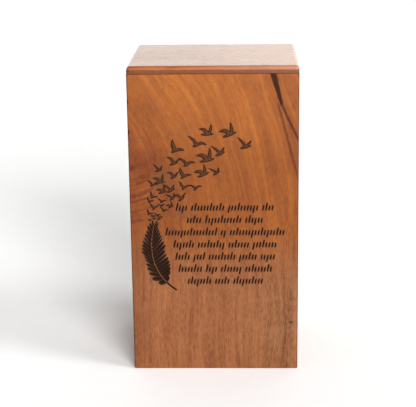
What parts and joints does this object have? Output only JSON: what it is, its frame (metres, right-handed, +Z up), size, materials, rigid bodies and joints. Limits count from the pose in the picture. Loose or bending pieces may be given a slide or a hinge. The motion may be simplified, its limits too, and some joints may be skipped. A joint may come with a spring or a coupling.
{
  "type": "cremation urn box",
  "caption": "Tall hollow wooden box urn with a rounded top board, an engraved front panel of a feather, birds and rows of strokes, and a base board screwed in from below.",
  "frame": {"origin": "on the table, under the middle of the box", "axes": "+Z up, -Y out of the engraved front, +X to the right of someone facing the front"},
  "size_m": [0.152, 0.128, 0.285],
  "materials": {
    "top_wood": "satin varnish, grain across the width",
    "front_wood": "satin varnish, upright grain, burnt dark in the engraving",
    "side_wood": "satin varnish, upright grain",
    "base_wood": "sanded, thin varnish",
    "screw_steel": "yellowish zinc, bright"
  },
  "bodies": {
    "root": {"top_board": "top_wood", "front_panel": "front_wood", "back_panel": "side_wood", "left_side": "side_wood", "right_side": "side_wood", "base_board": "base_wood", "screw_front_left": "screw_steel", "screw_front_right": "screw_steel", "screw_back_left": "screw_steel", "screw_back_right": "screw_steel"}
  },
  "joints": []
}
